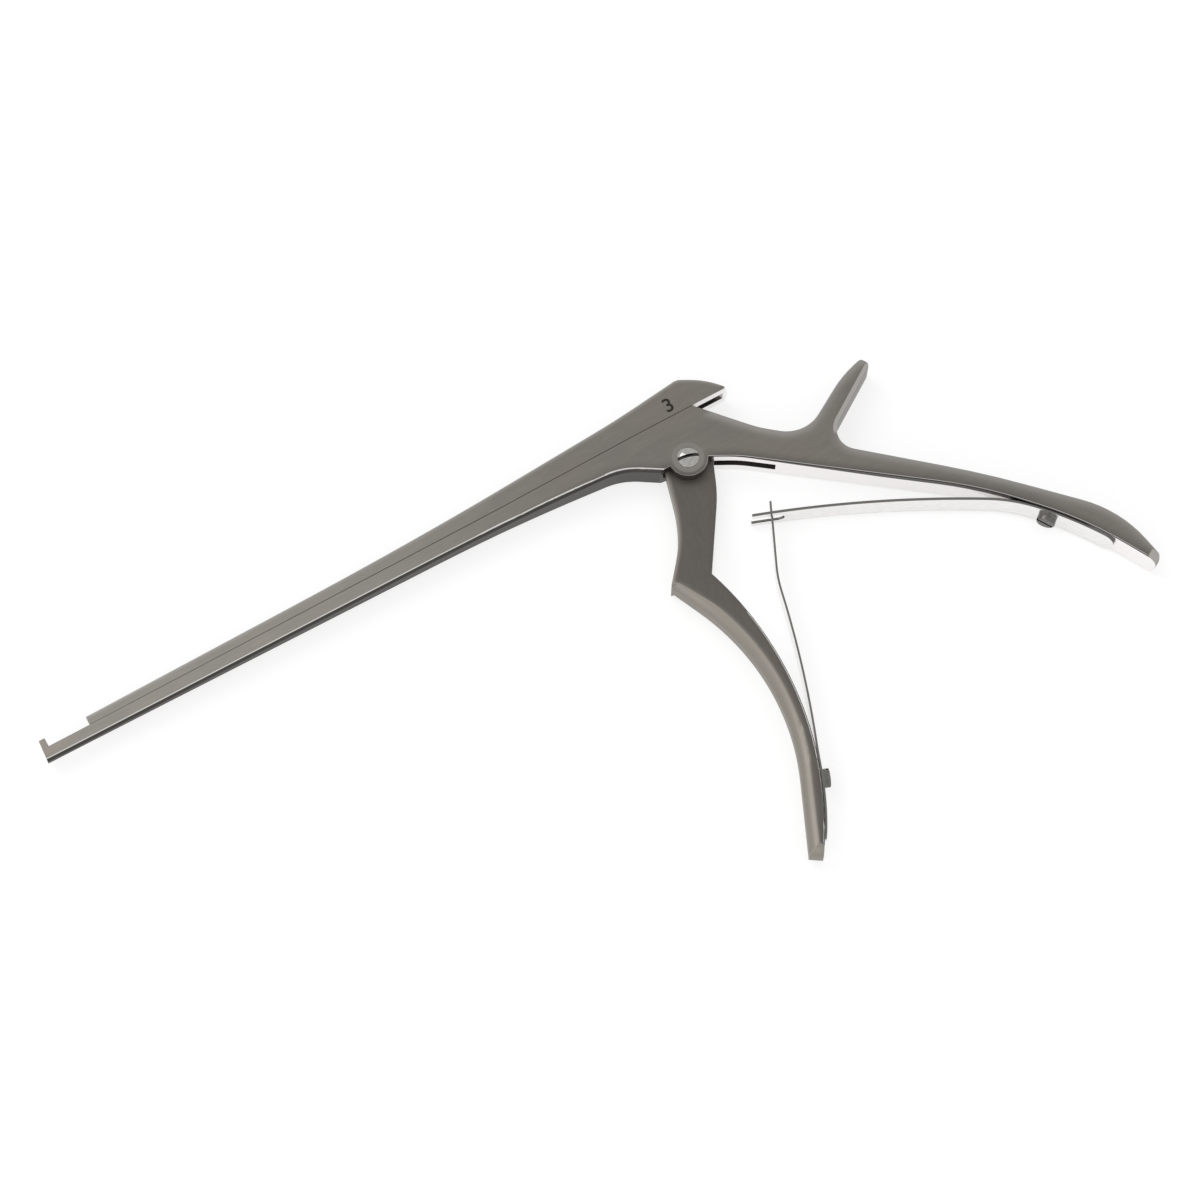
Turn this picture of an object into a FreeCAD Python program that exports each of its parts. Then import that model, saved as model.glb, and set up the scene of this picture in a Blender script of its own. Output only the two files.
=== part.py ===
"""Bone rongeur of the sliding-shaft kind, built about its pivot screw, in millimetres.

X runs along the shaft, away from the jaw.  Y runs from the pivot towards the slider.
Z is the axis of the pivot screw, and the instrument lies on its flank at Z = 0.
"""
import FreeCAD
import Part
import math
import os
from FreeCAD import Rotation, Vector

# Widths across the instrument, along Z
body_width = 9.4
bite_width = 3.0
shaft_width = 5.6
tongue_thickness = 3.0
slot_clearance = 0.2

# Shaft, jaw and slide face
shaft_reach = 199.5
slide_height = 13.5
slide_gap = 0.08
jaw_opening = 12.7
closed_gap = 0.1
bite_height = 2.7
foot_thickness = 2.3
foot_lean = 4.0
bar_height_jaw = 3.8
bar_height_bend = 4.9
bar_height_chin = 7.5
bar_bend = 52.0
bar_bend_setback = 25.0
chin_bend = 18.3
chin_setback = 5.0
bar_rounding = 1.1
taper_start = 186.0
taper_change = 57.0
taper_end = 8.0
taper_setback = 7.0

# Slider above the slide face
slider_height_middle = 3.45
slider_height_shoulder = 7.0
slider_height_apex = 9.4
slider_middle = 88.0
slider_middle_setback = 30.0
slider_shoulder = 11.5
slider_shoulder_setback = 8.0
slider_apex = 9.3
slider_apex_setback = 1.2
heel_back = 16.6
heel_back_height = 5.3
heel_back_setback = 4.5
heel_reach = 20.9
heel_end_radius = 14.0
heel_slot_front = -1.0
heel_slot_wall = 1.4
heel_slot_roof = 5.5
heel_slot_bend = 12.2
slider_rounding = 0.5
cup_radius = 0.95
cup_depth = 1.6

# Body round the pivot
lobe_radius = 5.7
chin_reach = 9.2
chin_height = 0.2
body_rear_edge = 9.3
body_start = 1.0
body_slope_run = 13.0
body_slope_drop = 15.3
body_slope_setback = 3.0
throat_angle = -27.0
edge_rounding = 0.3

# Rear handle: corners of its inner and outer faces
handle_start_x = 13.0
handle_start_y = -6.9
handle_start_setback = 3.0
knee_x = 67.5
knee_y = -48.8
knee_setback = 12.0
tail_x = 88.3
tail_y = -72.2
tail_setback = 14.3
end_x = 98.9
end_y = -93.2
outer_knee_x = 71.0
outer_knee_y = -45.4
outer_tail_x = 98.8
outer_tail_y = -74.4
outer_tail_setback = 11.0
end_thickness = 2.6
end_angle = 4.0
outer_end_setback = 2.4
handle_outer_rounding = 1.35
handle_inner_rounding = 0.4
handle_end_rounding = 3.6
root_overlap = 4.0

# Finger spur on the rear handle
spur_angle = 32.7
spur_root_station = 24.2
spur_root_depth = 7.8
spur_length = 28.4
spur_tip_width = 3.0
spur_tip_setback = 1.45
spur_tip_rounding = 1.3
spur_foot_run = 6.0
spur_crook_setback = 8.0
spur_crown_back = 8.0
spur_crown_angle = 15.0
spur_crown_setback = 5.0
valley_x = 32.8
valley_y = -10.5
valley_setback = 7.5

# Front handle lever, at its rest angle
lever_rest_angle = 17.5
lever_swing = 42.0
fork_half_width = 3.6
fork_past_pin = 1.9
fork_tip_setback = 1.6
hub_radius = 7.5
hub_clearance = 0.5
slot_run_out = 10.5
slot_end_depth = 3.0
arm_front_x = -13.0
arm_front_y = -18.6
arm_front_setback = 9.0
arm_rear_x = 2.2
arm_rear_y = -13.0
arm_rear_setback = 4.0
elbow_x = -23.7
elbow_y = -31.4
elbow_rear_x = -12.0
elbow_rear_y = -34.0
grip_front_bend_x = -7.5
grip_front_bend_y = -69.3
grip_front_setback = 31.5
grip_rear_bend_x = 0.2
grip_rear_bend_y = -79.4
grip_rear_setback = 45.5
grip_front_end_x = -30.4
grip_front_end_y = -118.4
grip_rear_end_x = -27.0
grip_rear_end_y = -120.4
grip_outer_rounding = 3.2
grip_inner_rounding = 0.5
arm_angle = -118.5
arm_hub_angle = -38.0
arm_thin_reach = 13.0
arm_thin_setback = 5.0
arm_thick_reach = 40.0
arm_thick_setback = 8.0

# Pivot screw and drive pin
pivot_diameter = 4.0
pivot_clearance = 0.05
pivot_head_diameter = 6.2
pivot_head_rim = 0.25
pivot_head_rise = 1.1
pivot_slot_width = 0.9
pivot_slot_depth = 0.75
pivot_slot_angle = -15.0
drive_pin_diameter = 3.0
drive_pin_above_slide = 3.0
drive_clearance = 0.25
fork_floor_clearance = 0.45

# Guide feet of the slider in their grooves
guide_clearance = 0.08
guide_length = 12.0
guide_stop = 0.6
front_guide_nose = 13.8
front_guide_neck = 1.1
front_guide_head = 1.9
front_guide_lip = 0.7
front_guide_depth = 1.6
rear_guide_front = 62.0
rear_guide_neck = 1.6
rear_guide_head = 2.8
rear_guide_lip = 0.9
rear_guide_depth = 2.1

# Leaf springs and their screws
seat_gap = 0.02
leaf_root_rounding = 3.4
leaf_tip_rounding = 0.6
rear_leaf_thickness = 0.8
rear_leaf_root_width = 8.2
rear_leaf_tip_width = 7.2
rear_leaf_leave = 0.0
rear_leaf_root = 24.5
rear_leaf_lift_length = 14.0
rear_leaf_lift_angle = 17.5
rear_leaf_free_radius = 350.0
rear_leaf_past_crossing = 5.75
fork_slot_width = 3.6
fork_slot_length = 10.0
front_leaf_thickness = 0.6
front_leaf_root_width = 7.4
front_leaf_tip_width = 5.0
front_leaf_leave = 62.5
front_leaf_root = 84.0
front_leaf_lift_length = 6.0
front_leaf_lift_angle = -2.3
front_leaf_free_length = 46.0
front_leaf_free_angle = 8.3
front_leaf_hook_length = 8.0
front_leaf_hook_angle = -11.5
front_leaf_end_length = 26.0
front_leaf_shoulder_gap = 0.15
tongue_width = 2.8
tongue_length = 5.0
screw_head_diameter = 5.4
screw_head_height = 2.0
screw_slot_width = 0.9
screw_slot_depth = 0.9
screw_shank_diameter = 2.6
screw_grip = 1.8
screw_head_rounding = 0.3
screw_slot_angle = 20.0
screw_hole_clearance = 0.2
rear_screw_station = 4.0
front_screw_station = 66.0

# Sizes that follow from the ones above
middle_z = body_width / 2
jaw_x = foot_thickness - shaft_reach
nose_x = jaw_x + jaw_opening
slider_floor = slide_height + slide_gap
slot_width = tongue_thickness + 2 * slot_clearance
slide_travel = jaw_opening - closed_gap
drive_pin_height = slide_height + drive_pin_above_slide
fork_reach = drive_pin_height + fork_past_pin
drive_pin_x = drive_pin_height * math.tan(math.radians(lever_rest_angle))
drive_pin_place = Vector(drive_pin_x, drive_pin_height, 0)

# Values of the drawing, not sizes of the object: two tolerances and how far a cut runs past a face
tiny = 1e-6
on_path = 1e-3
overrun = 1.0


def towards(angle, length=1.0):
    """Vector of the given length in the XY plane, at an angle in degrees from +X."""
    return Vector(math.cos(math.radians(angle)), math.sin(math.radians(angle)), 0) * length


def point(x, y):
    return Vector(x, y, 0)


def rounded_edges(corners, closed):
    """Lines through (corner, setback) pairs, with a tangent arc at each corner.

    The setback is the distance from the corner to the ends of its arc.
    """
    count = len(corners)
    edges = []
    joints = []
    for index, (corner, setback) in enumerate(corners):
        before = (corners[index - 1][0] - corner).normalize()
        after = (corners[(index + 1) % count][0] - corner).normalize()
        start = corner + before * setback
        end = corner + after * setback
        joints.append((start, end))
        if setback > 0:
            half = (before + after).normalize()
            slope = math.sqrt(1 - before.dot(half) ** 2) / before.dot(half)
            radius = setback * slope
            to_centre = math.hypot(radius, setback)
            edges.append(Part.Arc(start, corner + half * (to_centre - radius), end).toShape())
    for index in range(count if closed else count - 1):
        leave = joints[index][1]
        arrive = joints[(index + 1) % count][0]
        if leave.distanceToPoint(arrive) > tiny:
            edges.append(Part.LineSegment(leave, arrive).toShape())
    return edges


def plate(corners, low, high):
    """Solid of a rounded outline in the XY plane, from Z = low to Z = high."""
    face = Part.Face(Part.Wire(Part.__sortEdges__(rounded_edges(corners, True))))
    face.translate(Vector(0, 0, low))
    return face.extrude(Vector(0, 0, high - low))


def side_prism(corners, origin, angle, reach):
    """Solid of an outline given as (distance along the angle, z), extruded both ways across it."""
    prism = plate(corners, -reach, reach)
    prism.rotate(Vector(0, 0, 0), Vector(1, 0, 0), 90)
    prism.rotate(Vector(0, 0, 0), Vector(0, 0, 1), angle)
    prism.translate(origin)
    return prism


def both_sides(half):
    """Outline in (distance, z) from (distance, half width, setback) rows, even about the middle."""
    upper = [(point(s, middle_z + w), setback) for s, w, setback in half]
    lower = [(point(s, middle_z - w), setback) for s, w, setback in reversed(half)]
    return upper + lower


def upright(radius, low, high, centre=Vector(0, 0, 0)):
    """Round solid along Z."""
    return Part.makeCylinder(radius, high - low, centre + Vector(0, 0, low), Vector(0, 0, 1))


def box_between(x0, x1, y0, y1, z0, z1):
    return Part.makeBox(x1 - x0, y1 - y0, z1 - z0, Vector(x0, y0, z0))


def arc_of_corner(before, corner, after, setback):
    """Start point, start heading, radius, side and length of the tangent arc at a corner."""
    arrive = math.degrees(math.atan2(corner.y - before.y, corner.x - before.x))
    leave = math.degrees(math.atan2(after.y - corner.y, after.x - corner.x))
    turn = (leave - arrive + 180) % 360 - 180
    radius = setback / math.tan(math.radians(abs(turn) / 2))
    return {"start": corner - towards(arrive, setback), "heading": arrive, "turn": turn,
            "radius": radius, "length": radius * math.radians(abs(turn))}


def walk(start, heading, length, turn):
    """End point and heading after an arc of this length that turns by this many degrees."""
    if abs(turn) < tiny:
        return start + towards(heading, length), heading
    radius = length / math.radians(turn)
    centre = start + towards(heading + 90, radius)
    return centre + towards(heading + turn - 90, radius), heading + turn


def on_face(arc, station):
    """Point and heading on a handle's face, at a distance from the start of its arc."""
    if station < 0:
        return walk(arc["start"], arc["heading"], station, 0)
    return walk(arc["start"], arc["heading"], station, arc["turn"] * station / arc["length"])


def strip(start, heading, legs, thickness):
    """Closed outline of a leaf: its centre line is a chain of (length, turn) arcs."""
    def side(offset):
        spot = start + towards(heading + 90, offset)
        angle = heading
        edges = []
        for length, turn in legs:
            run = length - offset * math.radians(turn)
            middle, _ = walk(spot, angle, run / 2, turn / 2)
            end, new_angle = walk(spot, angle, run, turn)
            if abs(turn) < tiny:
                edges.append(Part.LineSegment(spot, end).toShape())
            else:
                edges.append(Part.Arc(spot, middle, end).toShape())
            spot, angle = end, new_angle
        return edges, start + towards(heading + 90, offset), spot
    left, left_start, left_end = side(thickness / 2)
    right, right_start, right_end = side(-thickness / 2)
    ends = [Part.LineSegment(left_start, right_start).toShape(),
            Part.LineSegment(left_end, right_end).toShape()]
    return Part.Wire(Part.__sortEdges__(left + right + ends))


def along_z(edge):
    """True for an edge that runs across the instrument."""
    return edge.BoundBox.ZMax - edge.BoundBox.ZMin > bite_width / 2


def round_along(solid, corners, radius):
    """Round both flank edges of a solid that follow this stretch of its outline."""
    path = Part.Wire(Part.__sortEdges__(rounded_edges(corners, False)))
    chosen = []
    for edge in solid.Edges:
        middle = edge.valueAt((edge.FirstParameter + edge.LastParameter) / 2)
        in_plan = Part.Vertex(middle.x, middle.y, 0)
        if not along_z(edge) and in_plan.distToShape(path)[0] < on_path:
            chosen.append(edge)
    return solid.makeFillet(radius, chosen)


# Corners of the rear handle and the curved face that carries its leaf
handle_start = point(handle_start_x, handle_start_y)
knee = point(knee_x, knee_y)
tail = point(tail_x, tail_y)
handle_angle = math.degrees(math.atan2(knee.y - handle_start.y, knee.x - handle_start.x))
outer_knee = point(outer_knee_x, outer_knee_y)
handle_end = point(end_x, end_y)
outer_end = handle_end + towards(end_angle, end_thickness)
spur_root = (handle_start + towards(handle_angle, spur_root_station)
             + towards(handle_angle + 90, spur_root_depth))
rear_face = arc_of_corner(knee, tail, handle_end, tail_setback)

# Corners of the lever's rear face
elbow_rear = point(elbow_rear_x, elbow_rear_y)
grip_rear_bend = point(grip_rear_bend_x, grip_rear_bend_y)
grip_rear_end = point(grip_rear_end_x, grip_rear_end_y)
front_face = arc_of_corner(elbow_rear, grip_rear_bend, grip_rear_end, grip_rear_setback)


# Corners of the finger spur and of the valley in front of it
spur_tip_back = spur_root + towards(spur_angle, spur_length)
spur_tip_front = spur_tip_back + towards(spur_angle + 90, spur_tip_width)
spur_tip_middle = (spur_tip_back + spur_tip_front) * 0.5
spur_crown = spur_tip_front - towards(spur_crown_angle, spur_crown_back)
spur_foot = spur_tip_middle - towards(spur_angle, spur_length + spur_foot_run)
valley = point(valley_x, valley_y)
body_rear_top = point(body_rear_edge, slide_height)
body_slope_foot = body_rear_top + Vector(body_slope_run, -body_slope_drop, 0)
throat = towards(throat_angle, lobe_radius)
chin = point(-chin_reach, chin_height)


def width_limit():
    """Plan shape of the shaft and body: narrow at the jaw, full width from the pivot on."""
    far = 2 * shaft_reach
    half = [(-far, bite_width / 2, 0),
            (-taper_start, bite_width / 2, taper_setback),
            (-taper_change, shaft_width / 2, taper_setback),
            (-taper_end, body_width / 2, taper_setback),
            (far, body_width / 2, 0)]
    return side_prism(both_sides(half), Vector(0, 0, 0), 0, far)


def middle_slot(corners):
    """Cut in the middle plane, wide enough for the lever's tongue to swing."""
    return plate(corners, middle_z - slot_width / 2, middle_z + slot_width / 2)


def drill(spot, direction, radius, low, high):
    """Round solid about a line through the spot, from low to high along the direction."""
    return Part.makeCylinder(radius, high - low, spot + direction * low, direction)


def guide_groove(foot_x, neck, head, lip, depth):
    """T-groove of one guide foot, from its forward stop to the window that lets it in."""
    front = foot_x - slide_travel - guide_stop
    back = foot_x + guide_length + guide_stop
    window_back = back + guide_length + guide_stop
    top = slide_height + overrun
    bottom = slide_height - depth
    neck_half = neck / 2 + guide_clearance
    head_half = head / 2 + guide_clearance
    neck_cut = box_between(front, back, bottom, top, middle_z - neck_half, middle_z + neck_half)
    head_cut = box_between(front, back, bottom, slide_height - lip,
                           middle_z - head_half, middle_z + head_half)
    window = box_between(back, window_back, bottom, top,
                         middle_z - head_half, middle_z + head_half)
    return neck_cut.fuse(head_cut).fuse(window)


def guide_foot(foot_x, neck, head, lip, depth):
    """T-shaped foot under the slider that runs in its groove."""
    top = slide_height - lip - guide_clearance
    bottom = slide_height - depth + guide_clearance
    stem = box_between(foot_x, foot_x + guide_length, bottom, slider_floor + lip,
                       middle_z - neck / 2, middle_z + neck / 2)
    bar = box_between(foot_x, foot_x + guide_length, bottom, top,
                      middle_z - head / 2, middle_z + head / 2)
    return stem.fuse(bar)


front_guide = {"foot_x": nose_x + front_guide_nose, "neck": front_guide_neck,
               "head": front_guide_head, "lip": front_guide_lip, "depth": front_guide_depth}
rear_guide = {"foot_x": -rear_guide_front, "neck": rear_guide_neck,
              "head": rear_guide_head, "lip": rear_guide_lip, "depth": rear_guide_depth}


def bar_outline():
    """Lower bar with its foot plate, up to the pivot."""
    lean = math.tan(math.radians(foot_lean)) * (bar_height_jaw + bite_height)
    return [(point(-shaft_reach, slide_height - bar_height_jaw), 0),
            (point(-bar_bend, slide_height - bar_height_bend), bar_bend_setback),
            (point(-chin_bend, slide_height - bar_height_chin), chin_setback),
            (chin, 0),
            (point(0, chin_height), 0),
            (point(0, slide_height), 0),
            (point(jaw_x, slide_height), 0),
            (point(jaw_x, slide_height + bite_height), 0),
            (point(lean - shaft_reach, slide_height + bite_height), 0)]


def body_outline():
    """Body behind the pivot, the front half of the finger spur and the root of the rear handle."""
    return [(spur_tip_middle, 0),
            (spur_tip_front, spur_tip_setback),
            (spur_crown, spur_crown_setback),
            (valley, valley_setback),
            (body_slope_foot, body_slope_setback),
            (body_rear_top, 0),
            (point(-body_start, slide_height), 0),
            (point(-body_start, chin_height), 0),
            (throat, 0),
            (handle_start, handle_start_setback),
            (handle_start + towards(handle_angle, spur_root_station + root_overlap), 0),
            (spur_foot, 0)]


def rear_handle_outline():
    """Rear handle from inside the body to its tail, and the rear half of the finger spur."""
    return [(handle_start + towards(handle_angle, spur_root_station), 0),
            (knee, knee_setback),
            (tail, tail_setback),
            (handle_end, 0),
            (outer_end, outer_end_setback),
            (point(outer_tail_x, outer_tail_y), outer_tail_setback),
            (outer_knee, knee_setback),
            (spur_root, spur_crook_setback),
            (spur_tip_back, spur_tip_setback),
            (spur_tip_middle, 0),
            (spur_foot, 0)]


def end_rounding(spot, heading, rounding):
    """Keeps what lies behind the spot, with its end rounded across the handle's width."""
    half = [(-2 * shaft_reach, body_width / 2, 0), (0, body_width / 2, rounding)]
    return side_prism(both_sides(half), spot, heading, shaft_reach)


def swing_slot():
    """Slot through the body in which the lever's hub, arm and fork swing."""
    reach = hub_radius + hub_clearance
    fork_half = fork_half_width + hub_clearance
    top = slide_height + overrun
    shut_angle = math.radians(lever_swing - lever_rest_angle)
    rest_angle = math.radians(lever_rest_angle)
    front_top = top * math.tan(shut_angle) + fork_half / math.cos(shut_angle)
    rear_top = top * math.tan(rest_angle) + fork_half / math.cos(rest_angle)
    slot_end = handle_start + towards(handle_angle, slot_run_out)
    slot_end_top = slot_end + towards(handle_angle + 90, slot_end_depth)
    below = 2 * reach
    return middle_slot([(point(-reach, -below), 0),
                        (point(-reach, 0), 0),
                        (point(-front_top, top), 0),
                        (point(rear_top, top), 0),
                        (point(reach, 0), 0),
                        (slot_end_top, 0),
                        (slot_end, 0),
                        (slot_end - Vector(0, below, 0), 0)])


def frame_and_rear_handle():
    """One forging: lower bar with its foot plate, body, rear handle and finger spur."""
    limit = width_limit()
    bar = plate(bar_outline(), 0, body_width).common(limit)
    bar = round_along(bar, bar_outline()[:4], bar_rounding)
    body = plate(body_outline(), 0, body_width)
    body = round_along(body, body_outline()[:6], edge_rounding)
    body = round_along(body, body_outline()[-4:-1], handle_inner_rounding)
    lobe = upright(lobe_radius, 0, body_width).common(limit)
    handle = plate(rear_handle_outline(), 0, body_width)
    handle = round_along(handle, rear_handle_outline()[3:-1], handle_outer_rounding)
    handle = round_along(handle, rear_handle_outline()[:4], handle_inner_rounding)
    tail_heading = math.degrees(math.atan2(end_y - tail.y, end_x - tail.x))
    handle = handle.common(end_rounding(handle_end, tail_heading, handle_end_rounding))
    spur_end = end_rounding(spur_tip_middle, spur_angle, spur_tip_rounding)
    solid = bar.fuse([body.common(spur_end), lobe, handle.common(spur_end)]).removeSplitter()
    cuts = [swing_slot(), guide_groove(**front_guide), guide_groove(**rear_guide),
            upright(pivot_diameter / 2 + seat_gap, -overrun, body_width + overrun),
            screw_bore(rear_screw_seat())]
    return solid.cut(cuts).removeSplitter()


def slider_outline():
    """Slider bar: level nose, rising back, rounded heel."""
    return [(point(nose_x, slider_floor), 0),
            (point(nose_x, slide_height + bite_height), 0),
            (point(-slider_middle, slide_height + slider_height_middle), slider_middle_setback),
            (point(-slider_shoulder, slide_height + slider_height_shoulder),
             slider_shoulder_setback),
            (point(slider_apex, slide_height + slider_height_apex), slider_apex_setback),
            (point(heel_back, slide_height + heel_back_height), heel_back_setback),
            (point(heel_reach, slider_floor), 0)]


def heel_slot():
    """Slot under the heel that takes the lever's fork, open towards the body."""
    roof = slide_height + heel_slot_roof
    wall = heel_reach - heel_slot_wall
    below = slide_height - overrun
    return middle_slot([(point(heel_slot_front, below), 0),
                        (point(heel_slot_front, roof), 0),
                        (point(heel_slot_bend, roof), 0),
                        (point(wall, slider_floor), 0),
                        (point(wall, below), 0)])


def slider_bar():
    """Sliding upper bar with its cutting cup, guide feet, heel and fork slot."""
    heel_centre = heel_reach - heel_end_radius
    tall = slide_height + 2 * heel_end_radius
    heel_end = Part.makeCylinder(heel_end_radius, tall,
                                 Vector(heel_centre, 0, middle_z), Vector(0, 1, 0))
    shaft = box_between(nose_x - overrun, heel_centre, 0, tall, 0, body_width)
    solid = plate(slider_outline(), 0, body_width).common(width_limit())
    solid = round_along(solid, slider_outline()[1:6], slider_rounding)
    solid = solid.common(heel_end.fuse(shaft)).removeSplitter()
    cup_centre = Vector(nose_x, slide_height + bite_height / 2, middle_z)
    cuts = [heel_slot(),
            drill(cup_centre, Vector(1, 0, 0), cup_radius, -overrun, cup_depth),
            upright(drive_pin_diameter / 2 + seat_gap, -overrun, body_width + overrun, drive_pin_place)]
    solid = solid.cut(cuts)
    return solid.fuse([guide_foot(**front_guide), guide_foot(**rear_guide)]).removeSplitter()


def grip_outline():
    """Lever below its elbow."""
    return [(point(elbow_x, elbow_y), 0),
            (point(grip_front_bend_x, grip_front_bend_y), grip_front_setback),
            (point(grip_front_end_x, grip_front_end_y), 0),
            (grip_rear_end, 0),
            (grip_rear_bend, grip_rear_setback),
            (elbow_rear, 0)]


def arm_outline():
    """Lever from the hub to the elbow."""
    return [(point(-hub_radius, 0), 0),
            (point(arm_front_x, arm_front_y), arm_front_setback),
            (point(elbow_x, elbow_y), 0),
            (elbow_rear, 0),
            (point(arm_rear_x, arm_rear_y), arm_rear_setback),
            (towards(arm_hub_angle, hub_radius), 0)]


def arm_thickness():
    """Side view of the lever: thin in the body's slot, full width from the elbow on."""
    far = shaft_reach
    thin = tongue_thickness / 2
    half = [(-far, thin, 0),
            (arm_thin_reach, thin, arm_thin_setback),
            (arm_thick_reach, body_width / 2, arm_thick_setback),
            (far, body_width / 2, 0)]
    return side_prism(both_sides(half), Vector(0, 0, 0), arm_angle, far)


def fork_arm():
    """Upper arm of the lever, with the notch that drives the slider's pin."""
    direction = 90 - lever_rest_angle
    along = towards(direction)
    across = towards(direction + 90)
    half = fork_half_width
    tip = fork_reach
    arm = plate([(across * -half, 0),
                 (along * tip - across * half, fork_tip_setback),
                 (along * tip + across * half, fork_tip_setback),
                 (across * half, 0)], 0, body_width)
    notch_half = drive_pin_diameter / 2 + drive_clearance
    nearest = drive_pin_height - drive_pin_diameter / 2 - fork_floor_clearance
    notch_floor = along * (nearest + notch_half)
    notch = plate([(notch_floor - across * notch_half, 0),
                   (along * (tip + overrun) - across * notch_half, 0),
                   (along * (tip + overrun) + across * notch_half, 0),
                   (notch_floor + across * notch_half, 0)], -overrun, body_width + overrun)
    return arm.cut(notch.fuse(upright(notch_half, -overrun, body_width + overrun, notch_floor)))


def front_handle():
    """Lever: fork, hub in the body's slot, arm that widens to the elbow, and grip."""
    grip = plate(grip_outline(), 0, body_width)
    grip = round_along(grip, grip_outline()[:3], grip_outer_rounding)
    grip = round_along(grip, grip_outline()[3:], grip_inner_rounding)
    tail_heading = math.degrees(math.atan2(grip_rear_end.y - grip_rear_bend.y,
                                           grip_rear_end.x - grip_rear_bend.x))
    grip = grip.common(end_rounding(grip_rear_end, tail_heading, handle_end_rounding))
    arm = plate(arm_outline(), 0, body_width)
    hub = upright(hub_radius, 0, body_width)
    solid = grip.fuse([arm, hub, fork_arm()]).removeSplitter().common(arm_thickness())
    bore = upright(pivot_diameter / 2 + pivot_clearance, -overrun, body_width + overrun)
    return solid.cut([bore, screw_bore(front_screw_seat())]).removeSplitter()


def pivot_screw():
    """Fixed screw that the lever turns on: flush shank, low domed head, one slot."""
    head_radius = pivot_head_diameter / 2
    dome_radius = (head_radius ** 2 + pivot_head_rise ** 2) / (2 * pivot_head_rise)
    rim_top = body_width + pivot_head_rim
    crown = rim_top + pivot_head_rise
    shank = upright(pivot_diameter / 2, 0, body_width)
    dome = Part.makeSphere(dome_radius, Vector(0, 0, crown - dome_radius))
    head = upright(head_radius, body_width, crown).common(dome)
    slot = box_between(-pivot_head_diameter, pivot_head_diameter,
                       -pivot_slot_width / 2, pivot_slot_width / 2,
                       crown - pivot_slot_depth, crown + overrun)
    slot.rotate(Vector(0, 0, 0), Vector(0, 0, 1), pivot_slot_angle)
    return shank.fuse(head).removeSplitter().cut(slot)


def drive_pin():
    """Cross pin of the slider that the lever's fork pushes."""
    return upright(drive_pin_diameter / 2, 0, body_width, drive_pin_place)


def screw_seat(arc, station, side):
    """Middle of a leaf screw on a handle's face, and the direction out of the handle."""
    spot, heading = on_face(arc, station)
    return Vector(spot.x, spot.y, middle_z), towards(heading + side)


def rear_screw_seat():
    return screw_seat(rear_face, rear_screw_station, -90)


def front_screw_seat():
    return screw_seat(front_face, front_screw_station, 90)


def screw_bore(seat):
    """Blind hole in the handle for a leaf screw."""
    spot, out = seat
    return drill(spot, out, screw_shank_diameter / 2 + seat_gap, -screw_grip - seat_gap, overrun)


def rise_under_head(face):
    """How far a hollow face rises from its tangent at the rim of a screw head."""
    return (screw_head_diameter / 2) ** 2 / (2 * face["radius"])


def leaf_screw(seat, leaf_thickness, rise):
    """Slotted screw that clamps a leaf to its handle, its head clear of a leaf that rises."""
    spot, out = seat
    under_head = leaf_thickness + 2 * seat_gap + rise
    top = under_head + screw_head_height
    shank = drill(spot, out, screw_shank_diameter / 2, -screw_grip, under_head)
    head = drill(spot, out, screw_head_diameter / 2, under_head, top)
    head = head.makeFillet(screw_head_rounding, [head.Edges[0]])
    slot = box_between(-screw_slot_width / 2, screw_slot_width / 2,
                       -screw_head_diameter, screw_head_diameter, -screw_slot_depth, overrun)
    slot.rotate(Vector(0, 0, 0), Vector(0, 0, 1), screw_slot_angle)
    slot.Placement = FreeCAD.Placement(spot + out * top, Rotation(Vector(0, 0, 1), out)).multiply(
        slot.Placement)
    return shank.fuse(head).removeSplitter().cut(slot)


def leaf_route(arc, side, leave, root, thickness, free_legs):
    """Start, heading and legs of a leaf's centre line, from its root end to its tip."""
    offset = seat_gap + thickness / 2
    spot, heading = on_face(arc, root)
    start = spot + towards(heading + side, offset)
    bent = arc["turn"] * (root - leave) / arc["length"]
    grow = offset * math.radians(bent) * (1 if side > 0 else -1)
    run = root - leave - grow
    return start, heading + 180, [(run, -bent)] + free_legs


def far_end(start, heading, legs):
    for length, turn in legs:
        start, heading = walk(start, heading, length, turn)
    return start


def leaf_plan(start, tip, half):
    """Plan shape of a leaf: half widths given at distances from its root end."""
    heading = math.degrees(math.atan2(tip.y - start.y, tip.x - start.x))
    return side_prism(both_sides(half), start, heading, shaft_reach)


front_route = leaf_route(front_face, 90, front_leaf_leave, front_leaf_root,
                         front_leaf_thickness,
                         [(front_leaf_lift_length, front_leaf_lift_angle),
                          (front_leaf_free_length, front_leaf_free_angle),
                          (front_leaf_hook_length, front_leaf_hook_angle),
                          (front_leaf_end_length, 0)])


def centre_wire(route):
    """Centre line of a leaf as a wire in the XY plane."""
    spot, angle, legs = route
    edges = []
    for length, turn in legs:
        middle, _ = walk(spot, angle, length / 2, turn / 2)
        end, new_angle = walk(spot, angle, length, turn)
        if abs(turn) < tiny:
            edges.append(Part.LineSegment(spot, end).toShape())
        else:
            edges.append(Part.Arc(spot, middle, end).toShape())
        spot, angle = end, new_angle
    return Part.Wire(edges)


def rear_leaf_route(free_length):
    """Route of the rear leaf, with this length beyond its lift from the handle."""
    free_angle = math.degrees(free_length / rear_leaf_free_radius)
    return leaf_route(rear_face, -90, rear_leaf_leave, rear_leaf_root, rear_leaf_thickness,
                      [(rear_leaf_lift_length, rear_leaf_lift_angle),
                       (free_length, free_angle)])


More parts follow.
